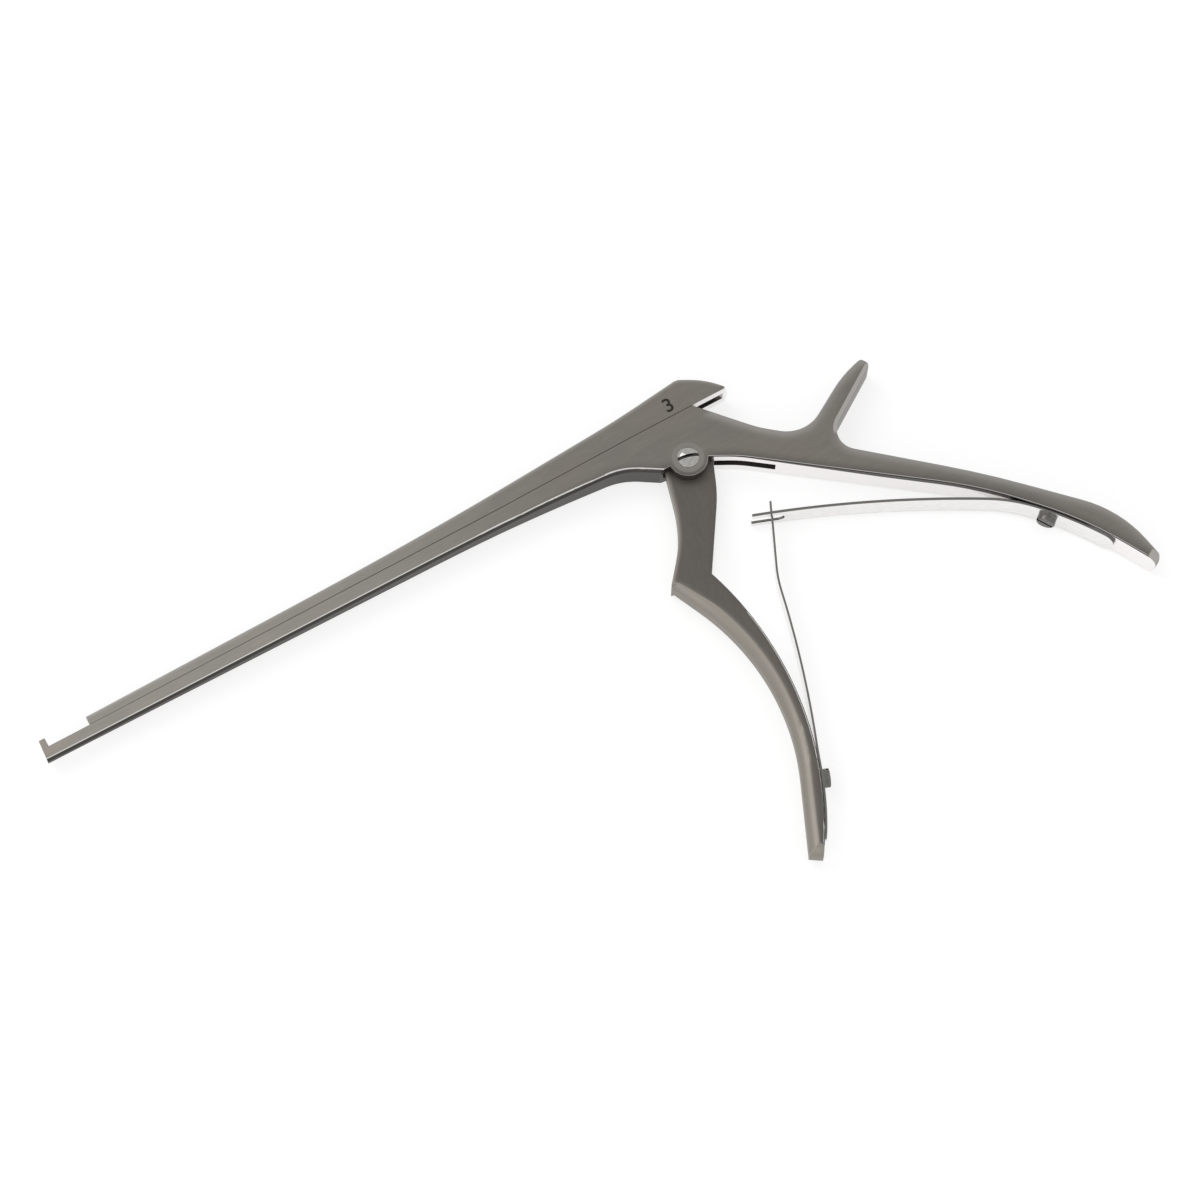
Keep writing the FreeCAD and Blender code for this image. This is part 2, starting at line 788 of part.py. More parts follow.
def length_to_crossing():
    """Free length of the rear leaf up to the place where the front leaf crosses it."""
    long_route = rear_leaf_route(shaft_reach)
    _, near, _ = centre_wire(long_route).distToShape(centre_wire(front_route))
    lift_end = far_end(*rear_leaf_route(tiny))
    chord = near[0][0].distanceToPoint(lift_end)
    return 2 * rear_leaf_free_radius * math.asin(chord / (2 * rear_leaf_free_radius))


rear_route = rear_leaf_route(length_to_crossing() + rear_leaf_past_crossing)


def leaf(route, thickness):
    return Part.Face(strip(*route, thickness)).extrude(Vector(0, 0, body_width))


def rear_leaf_spring():
    """Broad leaf on the rear handle, with a fork slot at its tip."""
    start = rear_route[0]
    tip = far_end(*rear_route)
    length = start.distanceToPoint(tip)
    root_half = rear_leaf_root_width / 2
    outline = leaf_plan(start, tip, [(0, root_half, leaf_root_rounding),
                                     (length + overrun, rear_leaf_tip_width / 2, leaf_tip_rounding)])
    slot = leaf_plan(start, tip, [(length - fork_slot_length, fork_slot_width / 2,
                                   fork_slot_width / 2 - seat_gap),
                                  (2 * length, fork_slot_width / 2, 0)])
    spot, out = rear_screw_seat()
    hole = drill(spot, out, screw_shank_diameter / 2 + screw_hole_clearance,
                 -overrun, 2 * rear_leaf_thickness)
    return leaf(rear_route, rear_leaf_thickness).common(outline).cut([slot, hole])


def front_leaf_spring():
    """Narrower leaf on the front handle, whose tongue rests in the rear leaf's fork."""
    start = front_route[0]
    tip = far_end(*front_route)
    chord = (tip - start).normalize()
    rear_under = leaf(rear_route, rear_leaf_thickness + 2 * front_leaf_shoulder_gap)
    meeting = leaf(front_route, front_leaf_thickness).common(rear_under)
    shoulder = min(chord.dot(vertex.Point - start) for vertex in meeting.Vertexes)
    end = shoulder + tongue_length
    root_half = front_leaf_root_width / 2
    wide = leaf_plan(start, tip, [(0, root_half, leaf_root_rounding),
                                  (shoulder, front_leaf_tip_width / 2, leaf_tip_rounding)])
    tongue = leaf_plan(start, tip, [(shoulder - tongue_length, tongue_width / 2, 0),
                                    (end, tongue_width / 2, leaf_tip_rounding)])
    spot, out = front_screw_seat()
    hole = drill(spot, out, screw_shank_diameter / 2 + screw_hole_clearance,
                 -overrun, 2 * front_leaf_thickness)
    return leaf(front_route, front_leaf_thickness).common(wide.fuse(tongue)).cut(hole)


pieces = {
    "frame_and_rear_handle": frame_and_rear_handle(),
    "slider_bar": slider_bar(),
    "front_handle": front_handle(),
    "pivot_screw": pivot_screw(),
    "drive_pin": drive_pin(),
    "rear_leaf_spring": rear_leaf_spring(),
    "front_leaf_spring": front_leaf_spring(),
    "rear_spring_screw": leaf_screw(rear_screw_seat(), rear_leaf_thickness,
                                    rise_under_head(rear_face)),
    "front_spring_screw": leaf_screw(front_screw_seat(), front_leaf_thickness, 0),
}

os.makedirs("parts", exist_ok=True)
for name, solid in pieces.items():
    solid.exportStep(os.path.join("parts", name + ".step"))
    print(name, len(solid.Solids), "solid, valid" if solid.isValid() else "NOT VALID",
          round(solid.Volume, 1))
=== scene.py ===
"""Bone rongeur: finish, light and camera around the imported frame, in metres.

X runs along the shaft away from the jaw, Y from the pivot towards the slider, and Z along
the pivot screw towards its head.  The instrument lies on its flank, on the floor at Z = 0.
"""
import math

import bpy
import numpy as np
from mathutils import Matrix, Vector


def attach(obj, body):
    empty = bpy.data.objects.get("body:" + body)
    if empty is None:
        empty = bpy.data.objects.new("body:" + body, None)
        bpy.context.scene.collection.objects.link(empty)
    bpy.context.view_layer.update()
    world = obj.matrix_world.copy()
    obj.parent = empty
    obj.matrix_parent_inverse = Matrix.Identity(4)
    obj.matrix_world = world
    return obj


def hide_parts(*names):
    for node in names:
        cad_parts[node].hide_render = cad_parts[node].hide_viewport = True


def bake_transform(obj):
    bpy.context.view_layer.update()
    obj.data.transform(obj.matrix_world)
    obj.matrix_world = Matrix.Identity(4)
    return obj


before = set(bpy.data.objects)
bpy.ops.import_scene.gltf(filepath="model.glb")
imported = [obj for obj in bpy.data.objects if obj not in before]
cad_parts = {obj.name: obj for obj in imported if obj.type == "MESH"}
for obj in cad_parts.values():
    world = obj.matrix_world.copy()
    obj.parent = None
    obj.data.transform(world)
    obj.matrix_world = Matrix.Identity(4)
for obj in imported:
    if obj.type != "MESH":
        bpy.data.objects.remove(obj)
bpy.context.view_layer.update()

MM = 0.001
middle_z = 4.7 * MM

# Leaf springs as in the CAD part, in millimetres and degrees: where the centre line starts,
# its heading, and its legs as (length, turn)
rear_leaf_start = (92.5378, -81.6841)
rear_leaf_heading = 118.8401
rear_leaf_legs = [(24.4062, 12.7934), (14.0, 17.5), (67.316, 11.0198)]
rear_leaf_thickness = 0.8
rear_leaf_root_half = 4.1
rear_leaf_tip_half = 3.6
fork_slot_half = 1.8
fork_slot_length = 10.0
front_leaf_start = (-23.8769, -116.2516)
front_leaf_heading = 57.2788
# The last leg ends with the CAD leaf's tongue, 5 mm past the shoulder at the rear leaf
front_leaf_legs = [(21.5683, 12.2249), (6.0, -2.3), (46.0, 8.3), (8.0, -11.5), (20.3326, 0.0)]
front_leaf_thickness = 0.6
front_leaf_root_half = 3.7
front_leaf_tip_half = 2.5
tongue_half = 1.4
tongue_length = 5.0
leaf_root_rounding = 3.4
leaf_bevel = 0.12
rear_leaf_clamped = rear_leaf_legs[0][0]
front_leaf_clamped = front_leaf_legs[0][0]
leaf_bend_share = 0.62
station_step = 0.5
inner_share = 0.8
slot_columns = 9
slot_run_in = 3.0
tongue_columns = 5
outer_columns = 4
rear_route = (rear_leaf_start, rear_leaf_heading, rear_leaf_legs)
front_route = (front_leaf_start, front_leaf_heading, front_leaf_legs)

# Colours of the steel, linear
flank_dark = (0.166, 0.156, 0.142)
flank_light = (0.184, 0.173, 0.158)
shaft_dark = (0.226, 0.213, 0.195)
shaft_light = (0.250, 0.236, 0.216)
arm_dark = (0.112, 0.103, 0.095)
arm_light = (0.126, 0.115, 0.106)
# painted light on the lever's rounded front
grip_front_painted_light = (0.278, 0.256, 0.226)
# painted light and painted shade across crowned flanks
crown_painted_light = (0.275, 0.265, 0.250)
crown_painted_shade = (0.098, 0.092, 0.086)
# painted highlight and painted shade on the spur's rear side
spur_painted_highlight = (0.380, 0.366, 0.345)
spur_side_painted_shade = (0.215, 0.206, 0.193)
tint_cool = (0.965, 0.985, 0.975)
tint_warm = (1.03, 1.00, 0.975)
# painted shade: undersides, the inner side under the shaft, and the rims where a side turns away
painted_under_shade = (0.060, 0.057, 0.052)
# dark joint between slider and frame, and painted shade in the pivot screw's slot
dark_joint_and_slot_shade = (0.045, 0.042, 0.039)
polished_face = (0.885, 0.865, 0.855)
# bright worn edges, and a painted highlight along the line where a flank turns over
wear_and_painted_highlight = (0.66, 0.65, 0.63)
land_tone = (0.235, 0.225, 0.208)
dome_low = (0.30, 0.292, 0.275)
dome_high = (0.44, 0.43, 0.41)
screw_low = (0.105, 0.100, 0.094)
screw_high = (0.170, 0.163, 0.153)
leaf_low = (0.80, 0.79, 0.775)
leaf_high = (0.885, 0.875, 0.86)
leaf_edge = (0.150, 0.145, 0.136)
mark_dark = (0.018, 0.017, 0.016)
mark_light = (0.045, 0.043, 0.040)

# Roughness, or its span, and strength of the relief
flank_rough = 0.41
arm_rough = 0.52
rough_spread = 0.08
line_rough = 0.22
under_rough = 0.34
inner_rough = 0.13
heel_rough = 0.15
grip_inner_rough = 0.14
dome_rough = (0.10, 0.18)
screw_rough = (0.20, 0.30)
leaf_rough = (0.14, 0.22)
leaf_edge_rough = 0.34
mark_rough = (0.42, 0.62)
mark_gloss = 0.1
flank_relief = 0.16
leaf_relief = 0.06
screw_relief = 0.05
mark_relief = 0.05

# Ground marks: how many to a metre, how much longer than wide, and their headings in degrees
flank_grain = {"Stretch": 9.0, "Density": 4200.0}
screw_grain = {"Stretch": 14.0, "Density": 5200.0}
leaf_grain = {"Stretch": 20.0, "Density": 4600.0}
bar_grain_heading = 0.0
arm_grain_heading = -100.0
dome_grain_heading = 30.0
screw_grain_heading = 60.0
leaf_grain_heading = 130.0
streak_scale = 0.22
cloud_scale = 55.0
mark_speckle = 9000.0
fine_share = 0.6

# Spans of a noise that are drawn out to the whole range
tone_span = (0.38, 0.62)
cloud_span = (0.35, 0.65)
tint_span = (0.40, 0.62)
speckle_span = (0.3, 0.7)

# Lean of the normal, 0 on a flank and 1 on a side, where a side's line, rim and face begin; the
# line takes a painted highlight, the rim painted shade
line_begins = (0.10, 0.22)
rim_begins = (0.34, 0.50)
face_begins = (0.93, 0.98)
side_soft = 0.10

# Lean of the rounded normal towards a heading, where a crown's painted light and painted shade
# grow
crown_toward = (0.01, 0.40)
crown_away = (-0.02, -0.55)
crown_shade_share = 0.75

# Z part of the normal, from side to flank
flank_rises = (0.90, 0.97)
leaf_edge_rises = (0.15, 0.35)

# Strength of worn edges
flank_wear = 1.6
arm_wear = 1.2
screw_wear = 1.2

# Where the finishes change, in millimetres, with headings and reaches in degrees
relief_depth = 0.02
wear_radius = 0.35
frame_crown = 4.5
slider_crown = 1.8
lever_crown = 2.4
change_half = 1.0
pivot_place = (0.0, 0.0)
seam_height = 13.54
seam_half = 0.07
seam_soft = 0.06
seam_fade = (-187.0, -70.0)
seam_faintest = 0.25
shaft_blend = (-35.0, -95.0)
shaft_flatness = 0.5
pin_place = (5.2, 16.5)
pin_ring = 2.4
land_radius = 4.6
land_share = 0.55
ear_radius = 6.6
pivot_slot_heading = -15.0
pivot_slot_half = 0.47
polish_start = 3.0
body_end = (8.5, 9.5)
frame_inner_side = -118.0
frame_outer_side = 62.0
spur_rear_side = -45.0
slider_under_side = -90.0
slider_top_side = 90.0
lever_inner_side = -5.0
lever_outer_side = 180.0
inner_reach = 50.0
spur_reach = 32.0
under_reach = 40.0
outer_reach = 62.0
inner_rim_span = (10.0, 88.0)
inner_rim_full = 45.0
inner_rim_height = (9.0, 7.3)
inner_rim_soft = 0.15

# Bite-size digit on the slider's flank
digit_place = (3.2, 15.0)
digit_size = 6.0
digit_stroke = 0.09
digit_depth = 0.04

# Camera and floor
camera_place = Vector((-209.5, -317.2, 883.8)) * MM
camera_target = Vector((-42.6, -23.9, 4.7)) * MM
camera_up = Vector((0.462, 0.812, 0.358))
camera_lens = 100.0
camera_sensor = 36.0
floor_half = 6.0
floor_colour = (0.40, 0.40, 0.40)
floor_glow = 0.72
room_light = 0.62
floor_rough = 0.9
floor_gloss = 0.1

# Softboxes: place, target and size in metres, and power in watts
softboxes = {"key_softbox": ((-0.6, 1.3, 1.4), (0, 0, 0), 1.2, 8.0),
             "front_softbox": ((-1.3, -0.9, 0.75), (0, -0.03, 0), 0.8, 4.0)}


def math_node(tree, operation, first, second=None, clamp=False):
    """Math node; each operand is an output socket or a number."""
    made = tree.nodes.new("ShaderNodeMath")
    made.operation = operation
    made.use_clamp = clamp
    for slot, operand in enumerate((first, second)):
        if operand is None:
            continue
        if isinstance(operand, (int, float)):
            made.inputs[slot].default_value = operand
        else:
            tree.links.new(operand, made.inputs[slot])
    return made.outputs[0]


def spread(tree, value, low, high, to_low=0.0, to_high=1.0):
    """Maps a value from one span to another, held at the ends."""
    made = tree.nodes.new("ShaderNodeMapRange")
    made.inputs["From Min"].default_value = low
    made.inputs["From Max"].default_value = high
    made.inputs["To Min"].default_value = to_low
    made.inputs["To Max"].default_value = to_high
    tree.links.new(value, made.inputs["Value"])
    return made.outputs["Result"]


def new_group(name, inputs, outputs):
    """Shader node group with float inputs and the given (name, kind) outputs."""
    group = bpy.data.node_groups.new(name, "ShaderNodeTree")
    for label, default in inputs:
        made = group.interface.new_socket(label, in_out="INPUT", socket_type="NodeSocketFloat")
        made.default_value = default
    for label, kind in outputs:
        group.interface.new_socket(label, in_out="OUTPUT", socket_type=kind)
    return group, group.nodes.new("NodeGroupInput"), group.nodes.new("NodeGroupOutput")


def noise(tree, vector, scale, detail=2.0, roughness=0.5):
    made = tree.nodes.new("ShaderNodeTexNoise")
    made.inputs["Scale"].default_value = scale
    made.inputs["Detail"].default_value = detail
    made.inputs["Roughness"].default_value = roughness
    tree.links.new(vector, made.inputs["Vector"])
    return made.outputs["Fac"]


def ground_grain():
    """Fine scratches of a belt-ground face, drawn out along one heading in the XY plane.

    Three noises: fine scratches, broader streaks, and soft clouds over both.  Tone runs
    from 0 to 1 about 0.5, Height is the fine scratches alone.
    """
    group, entry, exit_node = new_group(
        "ground_grain",
        [("Heading", 0.0), ("Stretch", 14.0), ("Density", 3000.0)],
        [("Tone", "NodeSocketFloat"), ("Height", "NodeSocketFloat"),
         ("Clouds", "NodeSocketFloat")])
    place = group.nodes.new("ShaderNodeTexCoord")
    turned = group.nodes.new("ShaderNodeVectorRotate")
    turned.rotation_type = "Z_AXIS"
    turned.inputs["Center"].default_value = (0, 0, 0)
    group.links.new(place.outputs["Object"], turned.inputs["Vector"])
    back = math_node(group, "MULTIPLY", entry.outputs["Heading"], -1.0)
    group.links.new(math_node(group, "RADIANS", back), turned.inputs["Angle"])
    parts = group.nodes.new("ShaderNodeSeparateXYZ")
    group.links.new(turned.outputs[0], parts.inputs[0])
    drawn = group.nodes.new("ShaderNodeCombineXYZ")
    along = math_node(group, "DIVIDE", parts.outputs["X"], entry.outputs["Stretch"])
    group.links.new(along, drawn.inputs["X"])
    group.links.new(parts.outputs["Y"], drawn.inputs["Y"])
    group.links.new(parts.outputs["Z"], drawn.inputs["Z"])
    scaled = group.nodes.new("ShaderNodeVectorMath")
    scaled.operation = "SCALE"
    group.links.new(drawn.outputs[0], scaled.inputs[0])
    group.links.new(entry.outputs["Density"], scaled.inputs["Scale"])
    fine = noise(group, scaled.outputs[0], scale=1.0, detail=3.0, roughness=0.6)
    streaks = noise(group, scaled.outputs[0], scale=streak_scale)
    clouds = noise(group, place.outputs["Object"], scale=cloud_scale, detail=3.0,
                   roughness=0.55)
    both = math_node(group, "ADD", math_node(group, "MULTIPLY", fine, fine_share),
                     math_node(group, "MULTIPLY", streaks, 1.0 - fine_share))
    group.links.new(both, exit_node.inputs["Tone"])
    group.links.new(fine, exit_node.inputs["Height"])
    group.links.new(clouds, exit_node.inputs["Clouds"])
    return group


def edge_wear():
    """Mask of worn edges: how far the normal of a slightly rounded surface leaves the true one."""
    group, entry, exit_node = new_group(
        "edge_wear", [("Strength", 3.0)], [("Mask", "NodeSocketFloat")])
    rounded = group.nodes.new("ShaderNodeBevel")
    rounded.samples = 4
    rounded.inputs["Radius"].default_value = wear_radius * MM
    true = group.nodes.new("ShaderNodeNewGeometry")
    product = group.nodes.new("ShaderNodeVectorMath")
    product.operation = "DOT_PRODUCT"
    group.links.new(rounded.outputs[0], product.inputs[0])
    group.links.new(true.outputs["Normal"], product.inputs[1])
    away = math_node(group, "SUBTRACT", 1.0, product.outputs["Value"])
    mask = math_node(group, "MULTIPLY", away, entry.outputs["Strength"], clamp=True)
    group.links.new(mask, exit_node.inputs["Mask"])
    return group


def normal_parts(tree):
    """The object's own normal, split into its parts."""
    place = tree.nodes.new("ShaderNodeTexCoord")
    parts = tree.nodes.new("ShaderNodeSeparateXYZ")
    tree.links.new(place.outputs["Normal"], parts.inputs[0])
    return parts.outputs


def place_parts(tree):
    """The object's own coordinates in metres, split into their parts."""
    place = tree.nodes.new("ShaderNodeTexCoord")
    parts = tree.nodes.new("ShaderNodeSeparateXYZ")
    tree.links.new(place.outputs["Object"], parts.inputs[0])
    return parts.outputs


def share_along(tree, parts, heading):
    """How much of a vector lies along a heading in the XY plane."""
    angle = math_node(tree, "RADIANS", heading)
    return math_node(tree, "ADD",
                     math_node(tree, "MULTIPLY", parts["X"], math_node(tree, "COSINE", angle)),
                     math_node(tree, "MULTIPLY", parts["Y"], math_node(tree, "SINE", angle)))


def side_masks():
    """Masks of a side that faces one heading, to within Reach degrees.

    Lean is the length of the normal's part in the XY plane, 0 on the flank and 1 on a side.
    Line is where the flank starts to turn over, Rim the rest of the rounding, Face the side.
    """
    group, entry, exit_node = new_group(
        "side_masks", [("Heading", -90.0), ("Reach", 45.0)],
        [("Line", "NodeSocketFloat"), ("Rim", "NodeSocketFloat"), ("Face", "NodeSocketFloat")])
    parts = normal_parts(group)
    squares = math_node(group, "ADD", math_node(group, "POWER", parts["X"], 2.0),
                        math_node(group, "POWER", parts["Y"], 2.0))
    lean = math_node(group, "SQRT", squares)
    share = math_node(group, "DIVIDE", share_along(group, parts, entry.outputs["Heading"]),
                      math_node(group, "MAXIMUM", lean, 0.001))
    limit = math_node(group, "COSINE", math_node(group, "RADIANS", entry.outputs["Reach"]))
    toward = spread(group, math_node(group, "SUBTRACT", share, limit), 0.0, side_soft)
    starts = spread(group, lean, *line_begins)
    turned = spread(group, lean, *rim_begins)
    flat = spread(group, lean, *face_begins)
    line = math_node(group, "SUBTRACT", starts, turned, clamp=True)
    rim = math_node(group, "SUBTRACT", turned, flat, clamp=True)
    for label, mask in (("Line", line), ("Rim", rim), ("Face", flat)):
        group.links.new(math_node(group, "MULTIPLY", mask, toward), exit_node.inputs[label])
    return group


def crown_light_masks():
    """Soft masks for painted light and shade on a crowned flank, from a normal rounded over Radius
    millimetres.

    Toward grows where that normal leans to the heading, Away where it leans from it.
    """
    group, entry, exit_node = new_group(
        "crown_light_masks", [("Heading", 60.0), ("Radius", 3.0)],
        [("Toward", "NodeSocketFloat"), ("Away", "NodeSocketFloat")])
    rounded = group.nodes.new("ShaderNodeBevel")
    rounded.samples = 8
    group.links.new(math_node(group, "MULTIPLY", entry.outputs["Radius"], MM),
                    rounded.inputs["Radius"])
    local = group.nodes.new("ShaderNodeVectorTransform")
    local.vector_type = "NORMAL"
    local.convert_from = "WORLD"
    local.convert_to = "OBJECT"
    group.links.new(rounded.outputs[0], local.inputs[0])
    parts = group.nodes.new("ShaderNodeSeparateXYZ")
    group.links.new(local.outputs[0], parts.inputs[0])
    lean = share_along(group, parts.outputs, entry.outputs["Heading"])
    group.links.new(spread(group, lean, *crown_toward), exit_node.inputs["Toward"])
    group.links.new(spread(group, lean, *crown_away), exit_node.inputs["Away"])
    return group


groups = {"grain": ground_grain(), "wear": edge_wear(), "side": side_masks(),
          "crown": crown_light_masks()}


def place_group(tree, name, **values):
    made = tree.nodes.new("ShaderNodeGroup")
    made.node_tree = groups[name]
    for label, value in values.items():
        made.inputs[label].default_value = value
    return made.outputs


def set_or_link(tree, target, value):
    if isinstance(value, tuple):
        target.default_value = (*value, 1.0)
    elif isinstance(value, (int, float)):
        target.default_value = value
    else:
        tree.links.new(value, target)


def mix(tree, kind, factor, first, second, blend="MIX"):
    """first where the factor is 0, second where it is 1; kind is RGBA or FLOAT."""
    made = tree.nodes.new("ShaderNodeMix")
    made.data_type = kind
    if kind == "RGBA":
        made.blend_type = blend
    socket_kind = "RGBA" if kind == "RGBA" else "VALUE"
    set_or_link(tree, made.inputs["Factor"], factor)
    for label, value in (("A", first), ("B", second)):
        target = [s for s in made.inputs if s.name == label and s.type == socket_kind][0]
        set_or_link(tree, target, value)
    return [s for s in made.outputs if s.type == socket_kind][0]


def mix_colour(tree, factor, first, second, blend="MIX"):
    return mix(tree, "RGBA", factor, first, second, blend)


def mix_value(tree, factor, first, second):
    return mix(tree, "FLOAT", factor, first, second)


def band(tree, value, middle, half, soft):
    """1 within half of the middle, falling to 0 over soft; all in millimetres."""
    away = math_node(tree, "ABSOLUTE", math_node(tree, "SUBTRACT", value, middle * MM))
    return spread(tree, away, half * MM, (half + soft) * MM, 1.0, 0.0)


def disc(tree, place, radius, soft):
    """1 within a radius of a place in the XY plane, falling to 0 over soft."""
    parts = place_parts(tree)
    across = math_node(tree, "POWER", math_node(tree, "SUBTRACT", parts["X"], place[0] * MM), 2.0)
    along = math_node(tree, "POWER", math_node(tree, "SUBTRACT", parts["Y"], place[1] * MM), 2.0)
    reach = math_node(tree, "SQRT", math_node(tree, "ADD", across, along))
    return spread(tree, reach, radius * MM, (radius + soft) * MM, 1.0, 0.0)


def hairline(tree):
    """The gap between slider and frame, which closes to a faint line towards the jaw."""
    parts = place_parts(tree)
    line = band(tree, parts["Y"], seam_height, seam_half, seam_soft)
    depth = spread(tree, parts["X"], seam_fade[0] * MM, seam_fade[1] * MM, seam_faintest, 1.0)
    under_slider = spread(tree, parts["X"], (seam_fade[0] - change_half) * MM,
                          seam_fade[0] * MM)
    return math_node(tree, "MULTIPLY", line, math_node(tree, "MULTIPLY", depth, under_slider))


def inverse(tree, mask):
    return math_node(tree, "SUBTRACT", 1.0, mask, clamp=True)


def new_steel(name):
    """Metal material, its tree and its shader."""
    material = bpy.data.materials.new(name)
    material.use_nodes = True
    tree = material.node_tree
    shader = tree.nodes["Principled BSDF"]
    shader.inputs["Metallic"].default_value = 1.0
    return material, tree, shader


def finish_shader(tree, shader, colour, rough, height, strength):
    """Colour, roughness and fine relief, to the shader."""
    relief = tree.nodes.new("ShaderNodeBump")
    relief.inputs["Strength"].default_value = strength
    relief.inputs["Distance"].default_value = relief_depth * MM
    tree.links.new(height, relief.inputs["Height"])
    tree.links.new(relief.outputs[0], shader.inputs["Normal"])
    tree.links.new(colour, shader.inputs["Base Color"])
    tree.links.new(rough, shader.inputs["Roughness"])


def satin_ground(tree, dark, light, heading, roughest=flank_rough):
    """Colour, roughness and height of a satin ground flank: warm grey with faint clouds."""
    grain = place_group(tree, "grain", Heading=heading, **flank_grain)
    tone = spread(tree, grain["Tone"], *tone_span)
    tint = mix_colour(tree, spread(tree, grain["Clouds"], *tint_span), tint_cool, tint_warm)
    colour = mix_colour(tree, 1.0, mix_colour(tree, tone, dark, light), tint, "MULTIPLY")
    rough = spread(tree, grain["Clouds"], *cloud_span, roughest - rough_spread, roughest)
    return colour, rough, grain["Height"]


def shaft_mask(tree, parts):
    """0 on the body and 1 along the shaft."""
    return spread(tree, parts["X"], shaft_blend[0] * MM, shaft_blend[1] * MM)


def bar_ground(tree, parts):
    """Satin ground flank of frame or slider, a little lighter on the shaft than on the body."""
    on_shaft = shaft_mask(tree, parts)
    return satin_ground(tree, mix_colour(tree, on_shaft, flank_dark, shaft_dark),
                        mix_colour(tree, on_shaft, flank_light, shaft_light),
                        bar_grain_heading)


def but_not(tree, mask, kept_off):
    """The mask, taken down to 0 where kept_off is 1."""
    if kept_off is None:
        return mask
    return math_node(tree, "MULTIPLY", mask, inverse(tree, kept_off))


def painted_crown_light(tree, colour, heading, radius, light, kept_off=None):
    """Painted light and shade of a crowned flank: lighter towards one side and darker towards the
    other, but where kept off.
    """
    lean = place_group(tree, "crown", Heading=heading, Radius=radius)
    toward = but_not(tree, lean["Toward"], kept_off)
    away = but_not(tree, lean["Away"], kept_off)
    colour = mix_colour(tree, toward, colour, light)
    return mix_colour(tree, math_node(tree, "MULTIPLY", away, crown_shade_share),
                      colour, crown_painted_shade)


def worn_edges(tree, colour, strength, kept_off=None):
    """Bright worn edges, except where the given mask is 1."""
    worn = place_group(tree, "wear", Strength=strength)["Mask"]
    return mix_colour(tree, but_not(tree, worn, kept_off), colour, wear_and_painted_highlight)


def sided(tree, colour, rough, side, face, face_rough):
    """A painted highlight line where the flank turns over, painted shade on the rim, and the
    side's own finish.
    """
    colour = mix_colour(tree, side["Line"], colour, wear_and_painted_highlight)
    colour = mix_colour(tree, side["Rim"], colour, painted_under_shade)
    colour = mix_colour(tree, side["Face"], colour, face)
    rough = mix_value(tree, side["Line"], rough, line_rough)
    return colour, mix_value(tree, side["Face"], rough, face_rough)


def inner_rim_shade(tree, parts):
    """Mask of painted shade on the rear handle's inner side under its near edge, wider away from
    the ear.
    """
    low_edge = spread(tree, parts["X"], inner_rim_span[0] * MM, inner_rim_full * MM,
                      inner_rim_height[0] * MM, inner_rim_height[1] * MM)
    above = spread(tree, math_node(tree, "SUBTRACT", parts["Z"], low_edge),
                   0.0, inner_rim_soft * MM)
    along = band(tree, parts["X"], middle=sum(inner_rim_span) / 2,
                 half=(inner_rim_span[1] - inner_rim_span[0]) / 2, soft=1.5)
    return math_node(tree, "MULTIPLY", above, along)


def frame_inner_face(tree, parts, on_handle):
    """Colour of the frame's inner side: painted shade under the shaft and under the handle's near
    edge, polished along the handle.
    """
    off_ear = inverse(tree, disc(tree, pivot_place, radius=ear_radius, soft=0.4))
    face = mix_colour(tree, on_handle, painted_under_shade, polished_face)
    face = mix_colour(tree, off_ear, flank_light, face)
    return mix_colour(tree, inner_rim_shade(tree, parts), face, painted_under_shade)


def spur_painted_light(tree, colour):
    """The spur's rear side: a painted highlight strip where the flank turns over, a darker painted
    shade outside it.
    """
    spur = place_group(tree, "side", Heading=spur_rear_side, Reach=spur_reach)
    turn = math_node(tree, "ADD", spur["Line"], spur["Rim"], clamp=True)
    colour = mix_colour(tree, turn, colour, spur_painted_highlight)
    return mix_colour(tree, spur["Face"], colour, spur_side_painted_shade)


def screw_land(tree, colour):
    """Slightly lighter land on the flank round the pivot screw's head."""
    flank = spread(tree, math_node(tree, "ABSOLUTE", normal_parts(tree)["Z"]), *flank_rises)
    land = math_node(tree, "MULTIPLY", flank,
                     disc(tree, pivot_place, radius=land_radius, soft=0.12))
    return mix_colour(tree, math_node(tree, "MULTIPLY", land, land_share), colour, land_tone)


def frame_steel():
    """Satin flanks with painted light and shade across the crown; painted shade under the shaft,
    and polished on the rear handle's inner side.
    """
    material, tree, shader = new_steel("satin_steel_frame")
    parts = place_parts(tree)
    colour, rough, height = bar_ground(tree, parts)
    wide_seam = band(tree, parts["Y"], seam_height, half=3.5, soft=1.5)
    flatter = math_node(tree, "MULTIPLY", shaft_mask(tree, parts), shaft_flatness)
    colour = painted_crown_light(tree, colour, frame_outer_side, frame_crown, crown_painted_light,
                     math_node(tree, "MAXIMUM", wide_seam, flatter))
    seam = band(tree, parts["Y"], seam_height, half=0.5, soft=0.2)
    colour = worn_edges(tree, colour, flank_wear, seam)
    on_handle = spread(tree, parts["X"], (polish_start - change_half) * MM,
                       (polish_start + change_half) * MM)
    inner = place_group(tree, "side", Heading=frame_inner_side, Reach=inner_reach)
    colour, rough = sided(tree, colour, rough, inner, frame_inner_face(tree, parts, on_handle),
                          mix_value(tree, on_handle, under_rough, inner_rough))
    colour = spur_painted_light(tree, colour)
    colour = screw_land(tree, colour)
    colour = mix_colour(tree, hairline(tree), colour, dark_joint_and_slot_shade)
    finish_shader(tree, shader, colour, rough, height, flank_relief)
    return material


